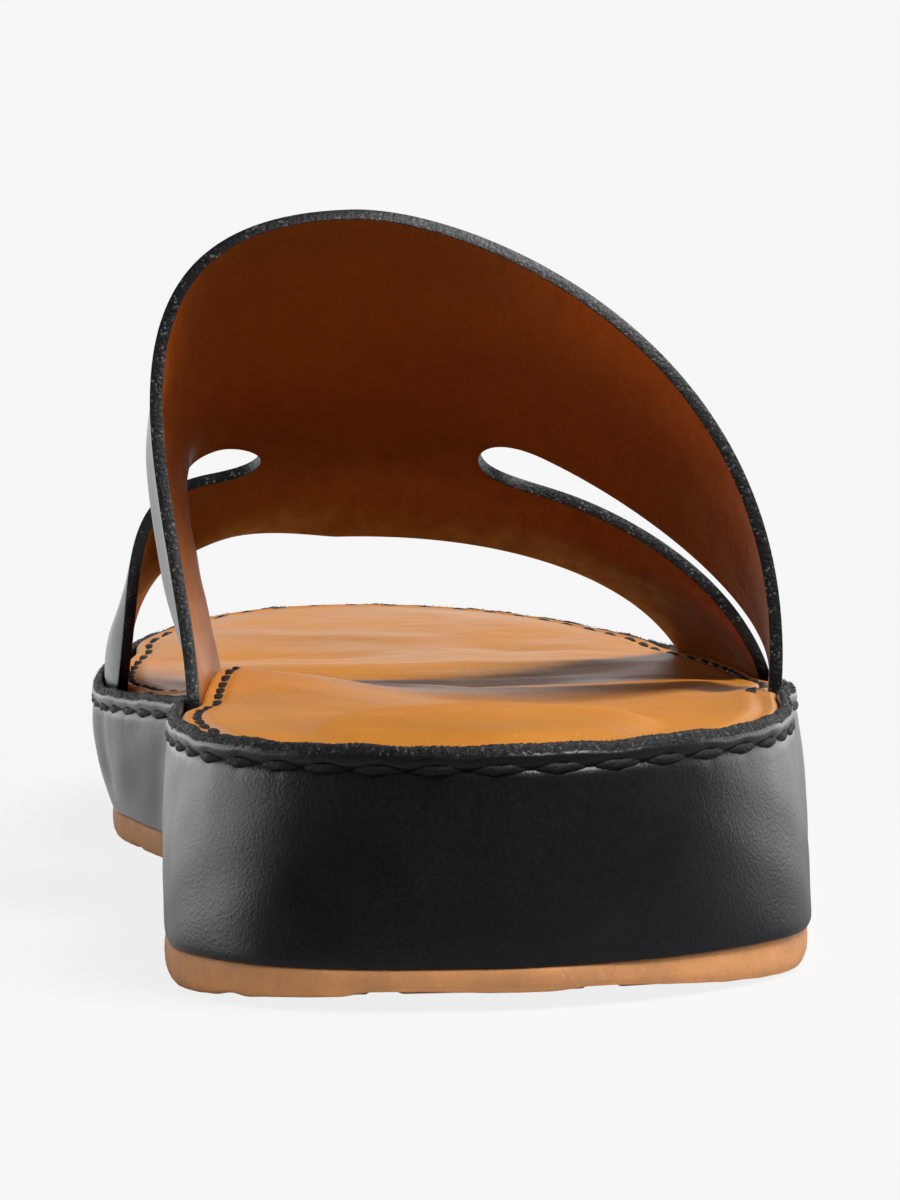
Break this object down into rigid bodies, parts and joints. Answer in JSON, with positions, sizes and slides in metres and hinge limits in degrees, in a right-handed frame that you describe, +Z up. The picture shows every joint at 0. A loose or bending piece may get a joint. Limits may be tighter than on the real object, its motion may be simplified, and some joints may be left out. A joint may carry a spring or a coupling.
{
  "type": "arabic sandal",
  "caption": "Right-foot slide sandal with a slotted leather instep band, padded footbed, leather-wrapped platform and gum-rubber outsole",
  "frame": {"origin": "centre of the bounding box in plan, on the floor under the outsole", "axes": "+Y from the heel to the toe, +X to the outer side of the right foot, +Z up"},
  "size_m": [0.0958, 0.285, 0.0869],
  "materials": {
    "gum_rubber": "matte gum rubber with a wavy tread",
    "wrap_leather": "fine-grained black leather, satin",
    "rim_leather": "black leather with a raw top edge and a pinched seam",
    "footbed_leather": "smooth tan leather over padding",
    "upper_leather": "black leather outside, tan leather lining, painted edges"
  },
  "bodies": {
    "root": {"outsole": "gum_rubber", "midsole": "wrap_leather", "rim": "rim_leather", "footbed": "footbed_leather", "upper": "upper_leather"}
  },
  "joints": []
}
